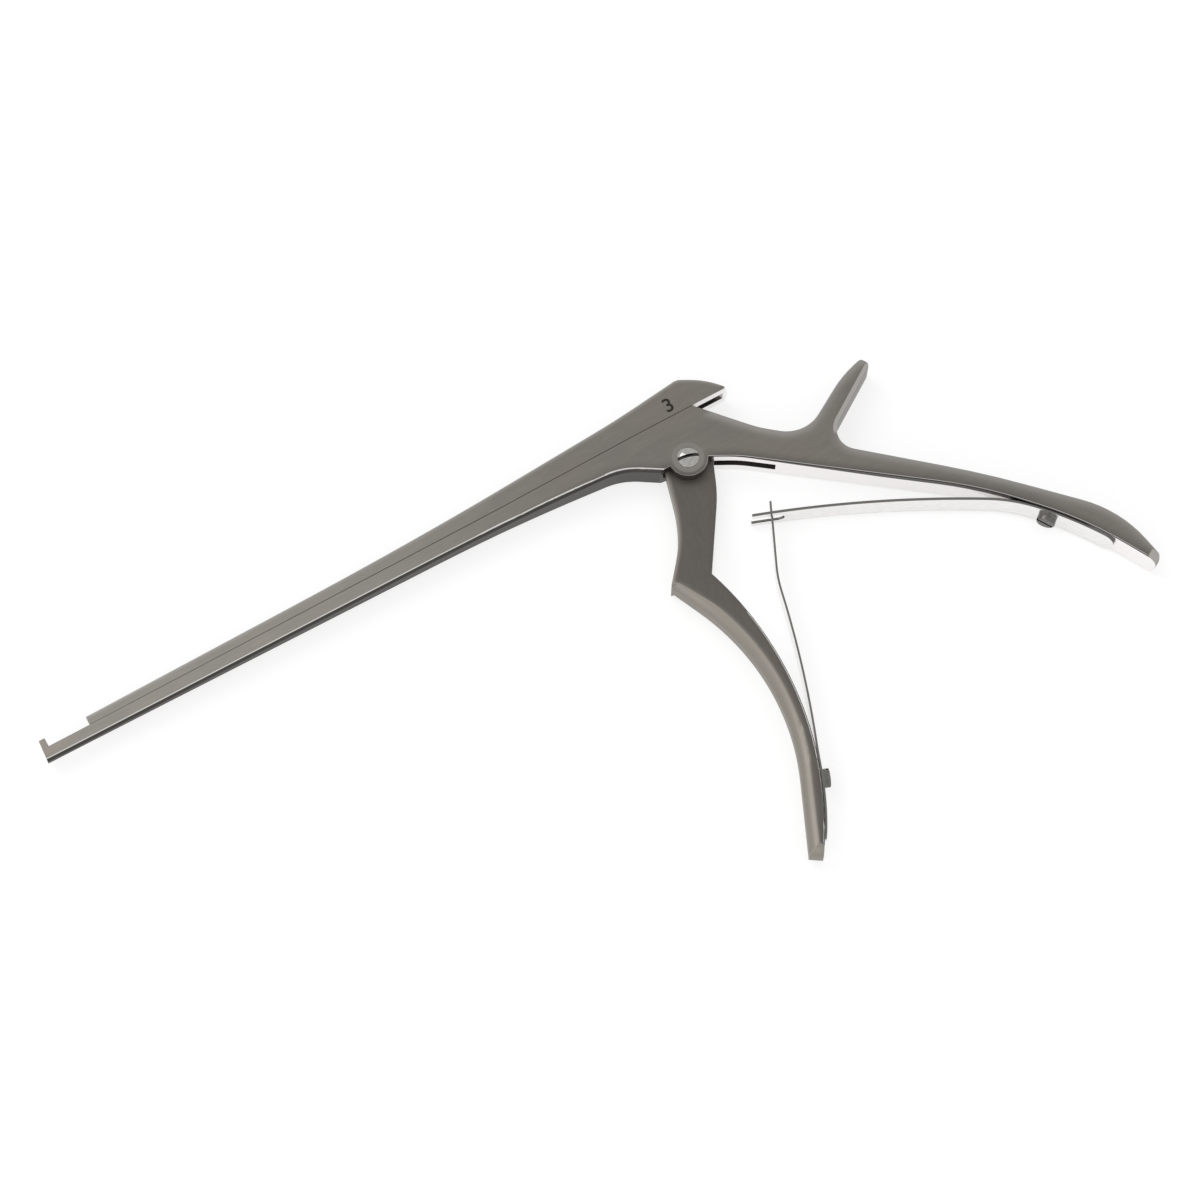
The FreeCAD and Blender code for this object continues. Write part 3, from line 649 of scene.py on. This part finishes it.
def slider_steel():
    """Satin flanks, with painted shade on the underside along the body, a polished underside to
    the head, and a hairline at the slide.
    """
    material, tree, shader = new_steel("satin_steel_slider")
    parts = place_parts(tree)
    colour, rough, height = bar_ground(tree, parts)
    seam = band(tree, parts["Y"], seam_height, half=1.0, soft=0.5)
    near_pin = disc(tree, pin_place, radius=2 * pin_ring, soft=0.5)
    colour = painted_crown_light(tree, colour, slider_top_side, slider_crown, crown_painted_light,
                     math_node(tree, "MAXIMUM", seam, near_pin))
    pin = disc(tree, pin_place, radius=pin_ring, soft=0.1)
    colour = worn_edges(tree, colour, flank_wear, math_node(tree, "MAXIMUM", seam, pin))
    under = place_group(tree, "side", Heading=slider_under_side, Reach=under_reach)
    past_body = spread(tree, parts["X"], body_end[0] * MM, body_end[1] * MM)
    # painted shade under the body, polished steel under the head
    face = mix_colour(tree, past_body, painted_under_shade, polished_face)
    colour, rough = sided(tree, colour, rough, under, face,
                          mix_value(tree, past_body, under_rough, heel_rough))
    line = math_node(tree, "MULTIPLY", hairline(tree), inverse(tree, past_body))
    colour = mix_colour(tree, line, colour, dark_joint_and_slot_shade)
    finish_shader(tree, shader, colour, rough, height, flank_relief)
    return material


def lever_steel():
    """Darker flanks, painted light on the rounded front, and a polished inner side."""
    material, tree, shader = new_steel("satin_steel_lever")
    colour, rough, height = satin_ground(tree, arm_dark, arm_light, arm_grain_heading,
                                         arm_rough)
    colour = painted_crown_light(tree, colour, lever_outer_side, lever_crown, grip_front_painted_light)
    outer = place_group(tree, "side", Heading=lever_outer_side, Reach=outer_reach)
    front = math_node(tree, "ADD", math_node(tree, "ADD", outer["Line"], outer["Rim"]),
                      outer["Face"], clamp=True)
    colour = mix_colour(tree, front, colour, grip_front_painted_light)
    colour = worn_edges(tree, colour, arm_wear)
    inner = place_group(tree, "side", Heading=lever_inner_side, Reach=inner_reach)
    colour, rough = sided(tree, colour, rough, inner, polished_face, grip_inner_rough)
    finish_shader(tree, shader, colour, rough, height, flank_relief)
    return material


def pin_steel():
    """The drive pin's flush end, ground together with the slider's flank."""
    material, tree, shader = new_steel("satin_steel_pin")
    colour, rough, height = satin_ground(tree, flank_dark, flank_light, bar_grain_heading)
    finish_shader(tree, shader, colour, rough, height, flank_relief)
    return material


def turned_steel(name, low, high, rough_span, heading):
    """Screw steel with fine lay marks, soft smears and lighter worn edges."""
    material, tree, shader = new_steel(name)
    grain = place_group(tree, "grain", Heading=heading, **screw_grain)
    colour = mix_colour(tree, spread(tree, grain["Tone"], *tone_span), low, high)
    colour = worn_edges(tree, colour, screw_wear)
    rough = spread(tree, grain["Clouds"], *cloud_span, *rough_span)
    return material, tree, shader, colour, rough, grain["Height"]


def pivot_steel():
    """Polished dome with painted shade in its slot."""
    material, tree, shader, colour, rough, height = turned_steel(
        "polished_steel", dome_low, dome_high, dome_rough, dome_grain_heading)
    across = share_along(tree, place_parts(tree), pivot_slot_heading + 90.0)
    slot = band(tree, across, middle=0.0, half=pivot_slot_half, soft=0.05)
    # painted shade in the slot
    colour = mix_colour(tree, slot, colour, dark_joint_and_slot_shade)
    finish_shader(tree, shader, colour, rough, height, screw_relief)
    return material


def screw_steel():
    """Duller leaf screws."""
    material, tree, shader, colour, rough, height = turned_steel(
        "screw_steel", screw_low, screw_high, screw_rough, screw_grain_heading)
    finish_shader(tree, shader, colour, rough, height, screw_relief)
    return material


def spring_steel():
    """Rolled leaf: dark cut edges across Z, bright broad faces."""
    material, tree, shader = new_steel("spring_steel")
    grain = place_group(tree, "grain", Heading=leaf_grain_heading, **leaf_grain)
    edge = spread(tree, math_node(tree, "ABSOLUTE", normal_parts(tree)["Z"]), *leaf_edge_rises)
    broad = mix_colour(tree, spread(tree, grain["Tone"], *tone_span), leaf_low, leaf_high)
    colour = mix_colour(tree, edge, broad, leaf_edge)
    rough = spread(tree, grain["Clouds"], *cloud_span, *leaf_rough)
    finish_shader(tree, shader, colour, mix_value(tree, edge, rough, leaf_edge_rough),
                  grain["Height"], leaf_relief)
    return material


def laser_mark():
    """Dark oxide of a laser-marked digit, slightly uneven."""
    material, tree, shader = new_steel("laser_mark")
    shader.inputs["Metallic"].default_value = 0.0
    shader.inputs["Specular IOR Level"].default_value = mark_gloss
    place = tree.nodes.new("ShaderNodeTexCoord")
    uneven = noise(tree, place.outputs["Object"], mark_speckle)
    speckle = spread(tree, uneven, *speckle_span)
    colour = mix_colour(tree, speckle, mark_dark, mark_light)
    rough = mix_value(tree, speckle, *mark_rough)
    finish_shader(tree, shader, colour, rough, speckle, mark_relief)
    return material


def centre_line(start, heading, legs, stations):
    """Points at arc lengths along a chain of tangent arcs, in millimetres.

    Each leg turns evenly, so a point at distance s on it lies at the leg's start plus the
    integral of (cos a, sin a), a = heading + turn * s / length.
    """
    points = np.zeros((len(stations), 2))
    spot = np.array(start, float)
    angle = math.radians(heading)
    done = 0.0
    for index, (length, turn) in enumerate(legs):
        bend = math.radians(turn) / length
        last = index == len(legs) - 1
        inside = (stations >= done) & ((stations <= done + length) | last)
        run = stations[inside] - done
        if abs(bend) < 1e-9:
            points[inside] = spot + np.outer(run, [math.cos(angle), math.sin(angle)])
            spot = spot + length * np.array([math.cos(angle), math.sin(angle)])
        else:
            points[inside] = spot + np.stack([np.sin(angle + bend * run) - math.sin(angle),
                                              math.cos(angle) - np.cos(angle + bend * run)],
                                             axis=1) / bend
            end = angle + bend * length
            spot = spot + np.array([math.sin(end) - math.sin(angle),
                                    math.cos(angle) - math.cos(end)]) / bend
        angle += bend * length
        done += length
    return points


def mesh_piece(name, points, faces, material):
    """Mesh object at the origin, with smooth faces."""
    mesh = bpy.data.meshes.new(name)
    mesh.from_pydata(points.tolist(), [], faces.tolist())
    mesh.materials.append(material)
    mesh.polygons.foreach_set("use_smooth", np.ones(len(mesh.polygons), bool))
    mesh.update()
    piece = bpy.data.objects.new(name, mesh)
    bpy.context.scene.collection.objects.link(piece)
    return piece


def grid_faces(rows, columns, keep):
    """Quads of a rows by columns grid, those whose keep mask is true."""
    index = np.arange(rows * columns).reshape(rows, columns)
    quads = np.stack([index[:-1, :-1], index[1:, :-1], index[1:, 1:], index[:-1, 1:]], axis=-1)
    return quads[keep]


def leaf_sheet(name, route, shape_at, thickness, material):
    """Leaf spring as its middle surface, thickened by a solidify modifier.

    A point at station s and height y is the centre line at s, at height middle_z + y.
    shape_at(length) gives the grid's stations, its heights, and the faces that exist.
    """
    length = sum(leg[0] for leg in route[2])
    stations, across, keep = shape_at(length)
    points = centre_line(*route, stations.ravel())
    xyz = np.column_stack([points * MM, middle_z + across.ravel() * MM])
    faces = grid_faces(across.shape[0], across.shape[1], keep)
    used = np.unique(faces)
    renumber = np.zeros(len(xyz), int)
    renumber[used] = np.arange(len(used))
    piece = mesh_piece(name, xyz[used], renumber[faces], material)
    wall = piece.modifiers.new("thickness", "SOLIDIFY")
    wall.thickness = thickness * MM
    wall.offset = 0.0
    edge = piece.modifiers.new("edges", "BEVEL")
    edge.width = leaf_bevel * MM
    edge.segments = 2
    edge.limit_method = "ANGLE"
    return piece


def even_stations(length):
    return np.linspace(0.0, length, int(length / station_step) + 1)


def root_half_width(stations, root_half, tip_half, length):
    """Half width that tapers evenly to the tip, closed by a quarter ellipse at the root."""
    even = root_half + (tip_half - root_half) * stations / length
    into = np.clip(stations / leaf_root_rounding, 0.0, 1.0)
    corner = root_half - leaf_root_rounding + leaf_root_rounding * np.sqrt(1 - (1 - into) ** 2)
    return np.minimum(even, corner)


def leaf_columns(half, inner, inner_columns):
    """Heights across a leaf: two outer bands beside an inner one of the given half width.

    At the rounded root, the inner band keeps to inner_share of the leaf's own half width.
    """
    share = np.linspace(0.0, 1.0, outer_columns)
    side = np.minimum(inner, inner_share * half)[:, None]
    outer = side + (half[:, None] - side) * share
    centre = side * np.linspace(-1.0, 1.0, inner_columns)[1:-1]
    return np.hstack([-outer[:, ::-1], centre, outer])


def inner_band(columns, inner_columns):
    """Mask of the grid's columns of faces that lie in the inner band."""
    first = (columns - inner_columns) // 2
    place = np.arange(columns - 1)
    return (place >= first) & (place < first + inner_columns - 1)


def rear_leaf(material):
    """Broad leaf with a fork slot at its tip, round at the bottom.

    Rows near the slot's bottom are drawn towards the tip beside the slot, so that the row at
    the bottom is a half circle in the inner band: s = bottom + r - sqrt(r^2 - y^2).
    """
    def shape_at(length):
        stations = even_stations(length)
        bottom = np.searchsorted(stations, length - fork_slot_length)
        half = root_half_width(stations, rear_leaf_root_half, rear_leaf_tip_half, length)
        across = leaf_columns(half, fork_slot_half, slot_columns)
        grid = np.repeat(stations[:, None], across.shape[1], axis=1)
        reach = np.minimum(np.abs(across[bottom]), fork_slot_half)
        sag = fork_slot_half - np.sqrt(fork_slot_half ** 2 - reach ** 2)
        rise = np.clip((stations - stations[bottom] + slot_run_in) / slot_run_in, 0.0, 1.0)
        fall = np.clip((length - stations) / (length - stations[bottom]), 0.0, 1.0)
        grid += np.minimum(rise, fall)[:, None] * sag
        rows = np.arange(len(stations) - 1)[:, None]
        keep = ~((rows >= bottom) & inner_band(across.shape[1], slot_columns))
        return grid, across, keep

    return leaf_sheet("rear_leaf_spring_bent", rear_route, shape_at,
                      rear_leaf_thickness, material)


def front_leaf(material):
    """Narrower leaf that steps down to a tongue at its tip."""
    def shape_at(length):
        shoulder = length - tongue_length
        stations = np.append(even_stations(shoulder), even_stations(tongue_length)[1:] + shoulder)
        half = root_half_width(stations, front_leaf_root_half, front_leaf_tip_half, shoulder)
        across = leaf_columns(half, tongue_half, tongue_columns)
        grid = np.repeat(stations[:, None], across.shape[1], axis=1)
        past = (stations[:-1] >= shoulder)[:, None]
        keep = ~(past & ~inner_band(across.shape[1], tongue_columns))
        return grid, across, keep

    return leaf_sheet("front_leaf_spring_bent", front_route, shape_at,
                      front_leaf_thickness, material)


def bend_ends(route, clamped):
    """Points where a leaf leaves its handle and where its bend is complete, in metres."""
    length = sum(leg[0] for leg in route[2])
    stations = np.array([clamped, clamped + (length - clamped) * leaf_bend_share])
    points = centre_line(*route, stations)
    return [(x * MM, y * MM, middle_z) for x, y in points]


def dress_nodes():
    """Finish of each node that shows as it was packed."""
    screws = screw_steel()
    finish = {"frame_and_rear_handle": frame_steel(), "slider_bar": slider_steel(),
              "front_handle": lever_steel(), "pivot_screw": pivot_steel(),
              "drive_pin": pin_steel(), "rear_spring_screw": screws,
              "front_spring_screw": screws}
    for node, material in finish.items():
        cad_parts[node].data.materials.clear()
        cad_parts[node].data.materials.append(material)


def dress_leaves():
    """Leaf springs, rebuilt as meshes in place of the packed leaves, which are hidden."""
    material = spring_steel()
    for piece, node, parent, body, route, clamped in (
            (rear_leaf(material), "rear_leaf_spring", "frame", "rear_spring",
             rear_route, rear_leaf_clamped),
            (front_leaf(material), "front_leaf_spring", "lever", "front_spring",
             front_route, front_leaf_clamped)):
        start, end = bend_ends(route, clamped)
        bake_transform(piece)
        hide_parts(node)


def bite_digit():
    """The bite width as a plain digit, a thin plate sunk half into the slider's flank."""
    text = bpy.data.curves.new("bite_digit", "FONT")
    text.body = "3"
    text.size = digit_size * MM
    text.extrude = digit_depth * MM / 2
    text.offset = digit_stroke * MM
    text.align_x = "CENTER"
    made = bpy.data.objects.new("bite_digit_curve", text)
    bpy.context.scene.collection.objects.link(made)
    bpy.context.view_layer.update()
    mesh = bpy.data.meshes.new_from_object(made)
    bpy.data.objects.remove(made)
    mesh.transform(Matrix.Translation((digit_place[0] * MM, digit_place[1] * MM, 2 * middle_z)))
    mesh.materials.clear()
    mesh.materials.append(laser_mark())
    digit = bpy.data.objects.new("bite_digit", mesh)
    bpy.context.scene.collection.objects.link(digit)
    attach(digit, "slider")


def area_light(name, place, target, size, energy):
    """Square area lamp that faces its target."""
    data = bpy.data.lights.new(name, "AREA")
    data.energy = energy
    data.size = size
    lamp = bpy.data.objects.new(name, data)
    lamp.location = place
    lamp.rotation_mode = "QUATERNION"
    lamp.rotation_quaternion = (Vector(target) - Vector(place)).to_track_quat("-Z", "Y")
    bpy.context.scene.collection.objects.link(lamp)


def background_rays(tree):
    """1 for the rays that show the background: to the camera, in gloss and through glass."""
    path = tree.nodes.new("ShaderNodeLightPath")
    shown = math_node(tree, "ADD", path.outputs["Is Camera Ray"],
                      path.outputs["Is Glossy Ray"])
    return math_node(tree, "ADD", shown, path.outputs["Is Transmission Ray"], clamp=True)


def floor():
    """Pale floor that shows as white to the camera and in gloss, and keeps the soft shadow."""
    corners = np.array([(-1, -1, 0), (1, -1, 0), (1, 1, 0), (-1, 1, 0)], float) * floor_half
    material = bpy.data.materials.new("pale_floor")
    material.use_nodes = True
    tree = material.node_tree
    shader = tree.nodes["Principled BSDF"]
    shader.inputs["Base Color"].default_value = (*floor_colour, 1.0)
    shader.inputs["Roughness"].default_value = floor_rough
    shader.inputs["Specular IOR Level"].default_value = floor_gloss
    seen = math_node(tree, "MULTIPLY", background_rays(tree), floor_glow)
    shader.inputs["Emission Color"].default_value = (1.0, 1.0, 1.0, 1.0)
    tree.links.new(seen, shader.inputs["Emission Strength"])
    made = mesh_piece("floor", corners, np.array([[0, 1, 2, 3]]), material)


def studio():
    """Plain soft light: a room that shows white and lights evenly, and two softboxes."""
    world = bpy.data.worlds.new("studio")
    world.use_nodes = True
    tree = world.node_tree
    backdrop = tree.nodes["Background"]
    level = spread(tree, background_rays(tree), 0.0, 1.0, room_light, 1.0)
    backdrop.inputs["Color"].default_value = (1.0, 1.0, 1.0, 1.0)
    tree.links.new(level, backdrop.inputs["Strength"])
    bpy.context.scene.world = world
    for name, (place, target, size, energy) in softboxes.items():
        area_light(name, place, target, size, energy)


def camera():
    """The photo's viewpoint."""
    data = bpy.data.cameras.new("camera")
    data.lens = camera_lens
    data.sensor_width = camera_sensor
    data.sensor_fit = "HORIZONTAL"
    data.clip_start = 0.01
    data.clip_end = 100.0
    seat = bpy.data.objects.new("camera", data)
    bpy.context.scene.collection.objects.link(seat)
    back = (camera_place - camera_target).normalized()
    right = camera_up.cross(back).normalized()
    upward = back.cross(right)
    seat.matrix_world = Matrix((
        (right.x, upward.x, back.x, camera_place.x),
        (right.y, upward.y, back.y, camera_place.y),
        (right.z, upward.z, back.z, camera_place.z),
        (0, 0, 0, 1)))
    bpy.context.scene.camera = seat


dress_nodes()
dress_leaves()
bite_digit()
floor()
studio()
camera()
bpy.context.scene.view_settings.view_transform = "Standard"
